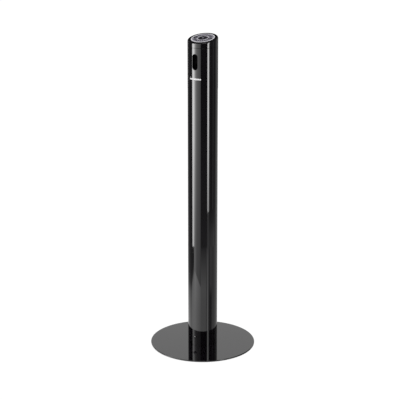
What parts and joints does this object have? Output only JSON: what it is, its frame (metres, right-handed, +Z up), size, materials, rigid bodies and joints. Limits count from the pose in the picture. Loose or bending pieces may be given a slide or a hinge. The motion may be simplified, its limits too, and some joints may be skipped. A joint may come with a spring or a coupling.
{
  "type": "ashtray bin",
  "caption": "Free-standing round ashtray bin post on a flat disc foot, with a slanted cap, an upright slot for cigarette ends and a lift-out canister inside.",
  "frame": {"origin": "centre of the underside, on the floor, on the post's axis", "axes": "+Z up along the post, the slot faces -Y, the slanted face rises towards +Y, X across"},
  "size_m": [0.34, 0.34, 1.0196],
  "materials": {
    "gloss_black_paint": "high-gloss black powder coat on steel",
    "rubber_black": "matt black rubber",
    "zinc_steel": "zinc-plated steel",
    "nylon_black": "matt black nylon",
    "black_screw_steel": "black-oxide steel",
    "printed_disc": "satin aluminium with a dark printed ring pattern",
    "white_print": "thin printed film with plain white bars",
    "canister_aluminium": "mill-finish aluminium sheet"
  },
  "bodies": {
    "base": {"anti_slip_ring": "rubber_black", "base_plate": "gloss_black_paint", "foot_ring": "rubber_black", "socket_flange": "zinc_steel", "flange_screws": "zinc_steel", "socket_tube": "zinc_steel", "guide_sleeve": "nylon_black"},
    "pole": {"outer_tube": "gloss_black_paint", "lock_boss": "zinc_steel", "cap_shell": "gloss_black_paint", "cap_seal": "rubber_black", "cap_grub_screws": "black_screw_steel", "face_disc": "printed_disc", "front_label": "white_print", "slot_baffle": "gloss_black_paint", "ash_funnel": "canister_aluminium"},
    "washer": {"lock_washer": "black_screw_steel"},
    "lock": {"lock_screw": "black_screw_steel"},
    "canister": {"canister_wall": "canister_aluminium", "canister_floor": "canister_aluminium", "canister_rim": "canister_aluminium", "bail_ears": "zinc_steel", "ear_rivets": "canister_aluminium"},
    "bail": {"bail_handle": "zinc_steel"}
  },
  "joints": [
    {"name": "pole_lift", "type": "slide", "parent": "base", "child": "pole", "axis": [0, 0, 1], "range_m": [0, 0.76]},
    {"name": "canister_lift", "type": "slide", "parent": "base", "child": "canister", "axis": [0, 0, 1], "range_m": [0, 0.09]},
    {"name": "bail_swing", "type": "hinge", "parent": "canister", "child": "bail", "pos_m": [0, 0, 0.7027], "axis": [1, 0, 0], "range_deg": [0, 180]},
    {"name": "lock_travel", "type": "slide", "parent": "pole", "child": "washer", "axis": [0, -1, 0], "range_m": [0, 0.004]},
    {"name": "lock_turn", "type": "hinge", "parent": "washer", "child": "lock", "pos_m": [0, -0.0485, 0.0332], "axis": [0, -1, 0], "range_deg": [0, 1440]}
  ],
  "couplings": [
    {"joint": "lock_turn", "follows": "lock_travel", "rad_per_m": 6283.2}
  ]
}
